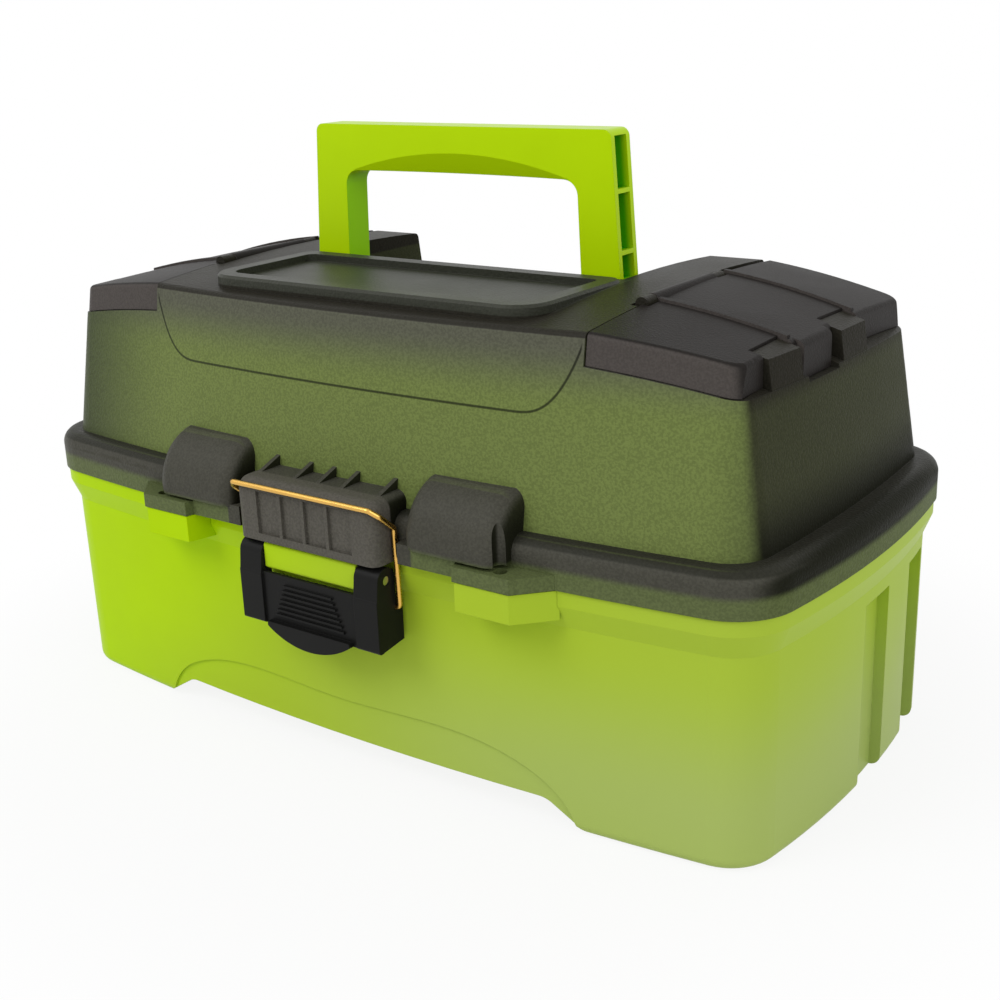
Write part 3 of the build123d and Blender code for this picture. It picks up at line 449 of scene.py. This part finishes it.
def cover_finish():
    made, tree, shader, place = new_material("dark_grey_plastic")
    cloud, speckle = mould_surface(tree, shader, place, grain=0.9 * MM, depth=0.16 * MM, gloss=0.42,
                                   shine=0.05)
    fascia = soft_step(tree, combine(tree, "ABSOLUTE", directions(tree)["Y"]), *FASCIA_FACING)
    colour = blend_colours(tree, fascia, mottled(tree, cloud, DARK_GREY), LIT_FASCIA_GREY)
    grain = soft_step(tree, speckle, *GRAIN_STEP)
    colour = blend_colours(tree, product(tree, grain, COVER_GRAIN_SHARE), colour, COVER_GRAIN)
    plug(tree, shader.inputs["Base Color"], colour)
    return made


def latch_finish():
    made, tree, shader, place = new_material("satin_black")
    cloud, _ = mould_surface(tree, shader, place, grain=0.7 * MM, depth=0.02 * MM, gloss=0.4, shine=0.1)
    plug(tree, shader.inputs["Base Color"], mottled(tree, cloud, BLACK, share=0.3))
    return made


keep_finish("dark_cover", cover_finish())
keep_finish("black_latch", latch_finish())

# %% [markdown]
# ## The handle's clean lime
# The handle is a clean lime. The channels in its legs and the inner sides of the legs are painted in
# shade: a deeper green, as light has further to go through the plastic there. Ambient occlusion could
# darken the channels, but it would not turn them green, so their place is worked out from the leaning legs.

# %% Handle
HANDLE_LIME = linear(184, 222, 3)
# painted shade for the inner sides of the legs and for their channels
INNER_SHADE_LIME = linear(150, 216, 2)
CHANNEL_SHADE_GREEN = linear(0, 176, 3)
LEG_LEAN = 0.068
LEG_OUTSIDE = 83.4 * MM
LEG_INSIDE = (70 * MM, 70.6 * MM)
CHANNEL_SIDE = (5.0 * MM, 4.6 * MM)
CHANNEL_DEPTH = (0.4 * MM, 4 * MM)
CHANNEL_TOP = (2.4 * MM, 2.9 * MM)
INWARD_FACING = (-0.4, -0.9)


def leg_channel(tree, axes):
    # 1 deep in the channels of the legs, where shade is painted, 0 elsewhere
    low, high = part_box("handle")
    middle = (low.y + high.y) / 2
    off_middle = combine(tree, "ABSOLUTE", combine(tree, "SUBTRACT", axes["Y"], middle))
    length = combine(tree, "ABSOLUTE", axes["X"])
    # the legs lean, so their outer face moves inwards with height
    outer = combine(tree, "MULTIPLY", combine(tree, "SUBTRACT", high.z, axes["Z"]), LEG_LEAN)
    sunk = combine(tree, "SUBTRACT", combine(tree, "ADD", outer, LEG_OUTSIDE), length)
    start, stop = CHANNEL_TOP
    return product(
        tree,
        soft_step(tree, off_middle, *CHANNEL_SIDE),
        soft_step(tree, sunk, *CHANNEL_DEPTH),
        soft_step(tree, length, *LEG_INSIDE),
        soft_step(tree, axes["Z"], high.z - start, high.z - stop),
    )


def handle_finish():
    made, tree, shader, place = new_material("clean_lime")
    cloud, _ = mould_surface(tree, shader, place, grain=0.5 * MM, depth=0.008 * MM, gloss=0.32,
                             shine=0.2, tint=GREEN_SHEEN)
    axes = add(tree, "SeparateXYZ", Vector=place).outputs
    # painted shade: the inner sides are painted a deeper green, as light comes through more plastic there
    inwards = combine(tree, "MULTIPLY", directions(tree)["X"], combine(tree, "SIGN", axes["X"]))
    colour = mottled(tree, cloud, HANDLE_LIME, share=0.04)
    colour = blend_colours(tree, soft_step(tree, inwards, *INWARD_FACING), colour, INNER_SHADE_LIME)
    colour = blend_colours(tree, leg_channel(tree, axes), colour, CHANNEL_SHADE_GREEN)
    plug(tree, shader.inputs["Base Color"], colour)
    return made


keep_finish("green_handle", handle_finish())

# %% [markdown]
# ## Metals, trays and dividers
# The latch's wire is drawn brass, and the pins and arms are bright steel. Drawing leaves fine lines
# along the metal, so the noise is stretched along the length of the box. The trays take the lime of
# the tub without its painted shade and sheen, and the dividers are clear plastic, the one piece that
# light goes through.

# %% Metals, trays and dividers
BRASS = linear(222, 176, 92)
STEEL = linear(186, 187, 190)
CLEAR = linear(214, 222, 214)
DRAWN_LINES = (40.0, 900.0, 900.0)
METAL_SPREAD = 0.08
DIVIDER_CLARITY = 0.7
DIVIDER_IOR = 1.49


def metal_finish(name, colour, gloss):
    made, tree, shader, place = new_material(name)
    stretch = add(tree, "Mapping", Vector=place, Scale=DRAWN_LINES)
    lines = add(tree, "TexNoise", Vector=stretch.outputs["Vector"], Scale=1.0, Detail=2.0).outputs["Fac"]
    plug(tree, shader.inputs["Base Color"], mottled(tree, lines, colour, share=0.1))
    spread = add(tree, "MapRange", Value=lines)
    spread.inputs["To Min"].default_value = gloss - METAL_SPREAD
    spread.inputs["To Max"].default_value = gloss + METAL_SPREAD
    plug(tree, shader.inputs["Roughness"], spread.outputs["Result"])
    shader.inputs["Metallic"].default_value = 1.0
    return made


def tray_finish():
    made, tree, shader, place = new_material("tray_lime")
    cloud, _ = mould_surface(tree, shader, place, grain=0.6 * MM, depth=0.012 * MM, gloss=0.36, shine=0.25)
    plug(tree, shader.inputs["Base Color"], mottled(tree, cloud, LIME, share=0.06))
    return made


def divider_finish():
    made, tree, shader, place = new_material("clear_plastic")
    cloud, _ = mould_surface(tree, shader, place, grain=0.8 * MM, depth=0.006 * MM, gloss=0.2, shine=0.5)
    plug(tree, shader.inputs["Base Color"], mottled(tree, cloud, CLEAR, share=0.05))
    shader.inputs["Transmission Weight"].default_value = DIVIDER_CLARITY
    shader.inputs["IOR"].default_value = DIVIDER_IOR
    return made


keep_finish("brass_wire", metal_finish("drawn_brass", BRASS, gloss=0.28))
keep_finish("steel_pin", metal_finish("pin_steel", STEEL, gloss=0.3))
keep_finish("steel_arm", metal_finish("strip_steel", STEEL, gloss=0.36))
keep_finish("green_tray", tray_finish())
keep_finish("clear_divider", divider_finish())

# %% [markdown]
# ## Dressing the solids
# A solid arrives with its true shape and with the true direction of its round faces stored at
# every corner. A copy of it keeps both, so round faces shade smoothly and flat ones stay flat.
# The copy takes the finish and stands for the solid. Modelling each piece again would only add
# a chance to differ from it.

# %% Finish each piece


def dress(node, body, slot):
    mesh = frame["nodes"][node].data.copy()
    mesh.name = node + "_skin"
    mesh.materials.clear()
    mesh.materials.append(FINISHES[slot])
    piece = bpy.data.objects.new(node + "_skin", mesh)
    bpy.context.scene.collection.objects.link(piece)
    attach(piece, body)
    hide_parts(node)
    return piece


for body, nodes in frame["record"]["behaviour"]["bodies"].items():
    for node in nodes:
        skin = dress(node, body, slot_of[node])
        print(node, "on", body, "has", len(skin.data.polygons), "faces")

# %% [markdown]
# ## Ribs inside the trays
# Tray walls carry a row of fine upright ribs that stiffen them and mark other places for the
# dividers. They repeat at an even step, so Geometry Nodes makes them: one line of points for each
# wall, one small block on each point. Copying blocks by hand would work too, but a step or a
# count could then not be changed in one place. The result becomes a plain mesh, one for each tray.

# %% Rib tree


def rib_tree():
    tree = bpy.data.node_groups.new("wall_ribs", "GeometryNodeTree")
    sockets = {}
    kinds = {"Walls": "Geometry", "Count": "Int", "Step": "Float", "Width": "Float", "Depth": "Float",
             "Height": "Float", "Finish": "Material"}
    for name, kind in kinds.items():
        made = tree.interface.new_socket(name, in_out="INPUT", socket_type="NodeSocket" + kind)
        sockets[name] = made.identifier
    tree.interface.new_socket("Ribs", in_out="OUTPUT", socket_type="NodeSocketGeometry")
    start = tree.nodes.new("NodeGroupInput").outputs
    step = tree.nodes.new("ShaderNodeCombineXYZ")
    tree.links.new(start["Step"], step.inputs["X"])
    line = tree.nodes.new("GeometryNodeMeshLine")
    tree.links.new(start["Count"], line.inputs["Count"])
    tree.links.new(step.outputs["Vector"], line.inputs["Offset"])
    size = tree.nodes.new("ShaderNodeCombineXYZ")
    for axis, name in zip("XYZ", ("Width", "Depth", "Height")):
        tree.links.new(start[name], size.inputs[axis])
    rib = tree.nodes.new("GeometryNodeMeshCube")
    tree.links.new(size.outputs["Vector"], rib.inputs["Size"])
    points = start["Walls"]
    for shape in (line, rib):
        spread = tree.nodes.new("GeometryNodeInstanceOnPoints")
        real = tree.nodes.new("GeometryNodeRealizeInstances")
        tree.links.new(points, spread.inputs["Points"])
        tree.links.new(shape.outputs["Mesh"], spread.inputs["Instance"])
        tree.links.new(spread.outputs["Instances"], real.inputs["Geometry"])
        points = real.outputs["Geometry"]
    finish = tree.nodes.new("GeometryNodeSetMaterial")
    tree.links.new(points, finish.inputs["Geometry"])
    tree.links.new(start["Finish"], finish.inputs["Material"])
    tree.links.new(finish.outputs["Geometry"], tree.nodes.new("NodeGroupOutput").inputs["Ribs"])
    return tree, sockets


RIBS, RIB_SOCKETS = rib_tree()
print("rib tree:", len(RIBS.nodes), "nodes")

# %% [markdown]
# The places of the ribs come from the solids: the box round a tray's dividers gives its two rows of
# rooms, and the number of dividers in a row gives the step. Typed places would be shorter, but the
# ribs would stay behind if a tray were made longer.

# %% Ribs of each tray
TRAY_WALL = 1.8 * MM
DIVIDER_FIT = 0.2 * MM
RIB_WIDTH = 1.0 * MM
RIB_DEPTH = 0.8 * MM
RIB_SUNK = 0.1 * MM
RIB_DROP = 4.0 * MM
RIBS_PER_ROOM = 4
RIB_FACES = 6


def rib_row(name, walls, z, count, step, height):
    # ribs along the two facing walls of one row of compartments
    start, front, rear = walls
    inset = RIB_DEPTH / 2 - RIB_SUNK
    host = bpy.data.meshes.new(name)
    host.from_pydata([(start, front + inset, z), (start, rear - inset, z)], [], [])
    piece = bpy.data.objects.new(name, host)
    bpy.context.scene.collection.objects.link(piece)
    made = piece.modifiers.new("ribs", "NODES")
    made.node_group = RIBS
    values = {"Count": count, "Step": step, "Width": RIB_WIDTH, "Depth": RIB_DEPTH, "Height": height,
              "Finish": FINISHES["green_tray"]}
    for socket, value in values.items():
        made[RIB_SOCKETS[socket]] = value
    return piece


def plain_mesh(piece):
    graph = bpy.context.evaluated_depsgraph_get()
    mesh = bpy.data.meshes.new_from_object(piece.evaluated_get(graph))
    bpy.data.objects.remove(piece)
    return mesh


def tray_ribs(tray, counts):
    low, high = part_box(tray + "_dividers")
    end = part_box(tray)[0].x + TRAY_WALL
    middle = (low.y + high.y) / 2
    rows = [(low.y - DIVIDER_FIT, middle - TRAY_WALL / 2), (middle + TRAY_WALL / 2, high.y + DIVIDER_FIT)]
    height = high.z - low.z - RIB_DROP
    work = bmesh.new()
    for (front, rear), count in zip(rows, counts):
        step = -2 * end / (count + 1) / RIBS_PER_ROOM
        walls = (end + step / 2, front, rear)
        row = rib_row(tray + "_rib_row", walls, low.z + height / 2, RIBS_PER_ROOM * (count + 1), step, height)
        work.from_mesh(plain_mesh(row))
    mesh = bpy.data.meshes.new(tray + "_ribs")
    work.to_mesh(mesh)
    work.free()
    mesh.materials.append(FINISHES["green_tray"])
    piece = bpy.data.objects.new(tray + "_ribs", mesh)
    bpy.context.scene.collection.objects.link(piece)
    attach(piece, tray)
    print(tray, "has", len(mesh.polygons) // RIB_FACES, "ribs")


tray_ribs("lower_tray", counts=(4, 3))
tray_ribs("upper_tray", counts=(5, 4))

# %% [markdown]
# ## White floor
# The box stands on a white sweep. Away from the box the floor is as white as the world behind it,
# so no horizon shows; near the box it keeps part of its own shading, which leaves a soft shadow.
# More light would make the floor white too, but it would also bleach the box.

# %% White floor
FLOOR_HALF = 4.0
FLOOR_GAP = 0.2 * MM
SHADOW_SHARE = 0.12
SHADOW_REACH = (0.2, 0.36)
FLOOR_PAINT = (0.86, 0.86, 0.86, 1)


def seen_directly(tree):
    path = add(tree, "LightPath").outputs
    seen = combine(tree, "MAXIMUM", path["Is Camera Ray"], path["Is Glossy Ray"])
    return combine(tree, "MAXIMUM", seen, path["Is Transmission Ray"])


def white_floor():
    made = bpy.data.materials.new("white_sweep")
    made.use_nodes = True
    tree = made.node_tree
    tree.nodes.clear()
    paint = add(tree, "BsdfDiffuse", Color=FLOOR_PAINT)
    glow = add(tree, "Emission", Color=WHITE, Strength=1.0)
    distance = add(tree, "VectorMath", {"operation": "LENGTH"})
    plug(tree, distance.inputs[0], add(tree, "TexCoord").outputs["Object"])
    far = soft_step(tree, distance.outputs["Value"], *SHADOW_REACH)
    white = combine(tree, "ADD", combine(tree, "MULTIPLY", far, SHADOW_SHARE), 1 - SHADOW_SHARE)
    mix = add(tree, "MixShader")
    plug(tree, mix.inputs["Fac"], combine(tree, "MULTIPLY", seen_directly(tree), white))
    tree.links.new(paint.outputs["BSDF"], mix.inputs[1])
    tree.links.new(glow.outputs["Emission"], mix.inputs[2])
    end = tree.nodes.new("ShaderNodeOutputMaterial")
    tree.links.new(mix.outputs["Shader"], end.inputs["Surface"])
    return made


corners = [(-1, -1), (1, -1), (1, 1), (-1, 1)]
floor_mesh = bpy.data.meshes.new("floor")
floor_mesh.from_pydata([(x * FLOOR_HALF, y * FLOOR_HALF, -FLOOR_GAP) for x, y in corners], [], [(0, 1, 2, 3)])
floor_mesh.materials.append(white_floor())
floor = bpy.data.objects.new("floor", floor_mesh)
bpy.context.scene.collection.objects.link(floor)
print("floor is", 2 * FLOOR_HALF, "m wide")

# %% [markdown]
# ## Light
# A studio lights such a box with large soft lamps. Two discs do that here, and the world around
# fills the shadows. A single small lamp would be simpler, but its hard shadow would hide the form.

# %% World and lamps
WORLD_LIGHT = 0.62
LAMP_TARGET = Vector((0, 0, 0.1))


def studio_world():
    world = bpy.data.worlds.new("studio")
    world.use_nodes = True
    tree = world.node_tree
    sky = tree.nodes["Background"]
    sky.inputs["Color"].default_value = WHITE
    strength = add(tree, "MapRange", Value=seen_directly(tree))
    strength.inputs["To Min"].default_value = WORLD_LIGHT
    strength.inputs["To Max"].default_value = 1.0
    plug(tree, sky.inputs["Strength"], strength.outputs["Result"])
    return world


def soft_lamp(name, place, size, power):
    lamp = bpy.data.lights.new(name, "AREA")
    lamp.shape = "DISK"
    lamp.size = size
    lamp.energy = power
    made = bpy.data.objects.new(name, lamp)
    made.location = place
    made.rotation_euler = (LAMP_TARGET - Vector(place)).to_track_quat("-Z", "Y").to_euler()
    bpy.context.scene.collection.objects.link(made)


bpy.context.scene.world = studio_world()
soft_lamp("key", place=(-0.7, -1.3, 1.5), size=1.2, power=14)
soft_lamp("side", place=(1.6, -0.5, 0.9), size=1.0, power=6)
bpy.context.scene.view_settings.view_transform = "Standard"

# %% [markdown]
# ## Camera
# The camera stands where the picture was taken: in front, to the right and a little above. Its
# place, turn and lens were fitted so that the rim, the feet and the walls fall on the same lines.

# %% Camera
CAMERA_PLACE = (0.4120, -0.5282, 0.3258)
CAMERA_AZIMUTH = math.radians(36.59)
CAMERA_ELEVATION = math.radians(18.82)
CAMERA_ROLL = math.radians(-2.09)
CAMERA_LENS = 51.96
SENSOR_WIDTH = 36.0


def camera_turn():
    side = Vector((math.cos(CAMERA_AZIMUTH), math.sin(CAMERA_AZIMUTH), 0))
    flat = math.cos(CAMERA_ELEVATION)
    back = Vector((side.y * flat, -side.x * flat, math.sin(CAMERA_ELEVATION)))
    up = back.cross(side)
    turned_side = math.cos(CAMERA_ROLL) * side + math.sin(CAMERA_ROLL) * up
    turned_up = math.cos(CAMERA_ROLL) * up - math.sin(CAMERA_ROLL) * side
    return Matrix((turned_side, turned_up, back)).transposed().to_4x4()


camera = bpy.data.objects.new("camera", bpy.data.cameras.new("camera"))
camera.data.lens = CAMERA_LENS
camera.data.sensor_width = SENSOR_WIDTH
camera.matrix_world = Matrix.Translation(CAMERA_PLACE) @ camera_turn()
bpy.context.scene.collection.objects.link(camera)
bpy.context.scene.camera = camera
print("camera at", [round(v, 3) for v in camera.matrix_world.translation])
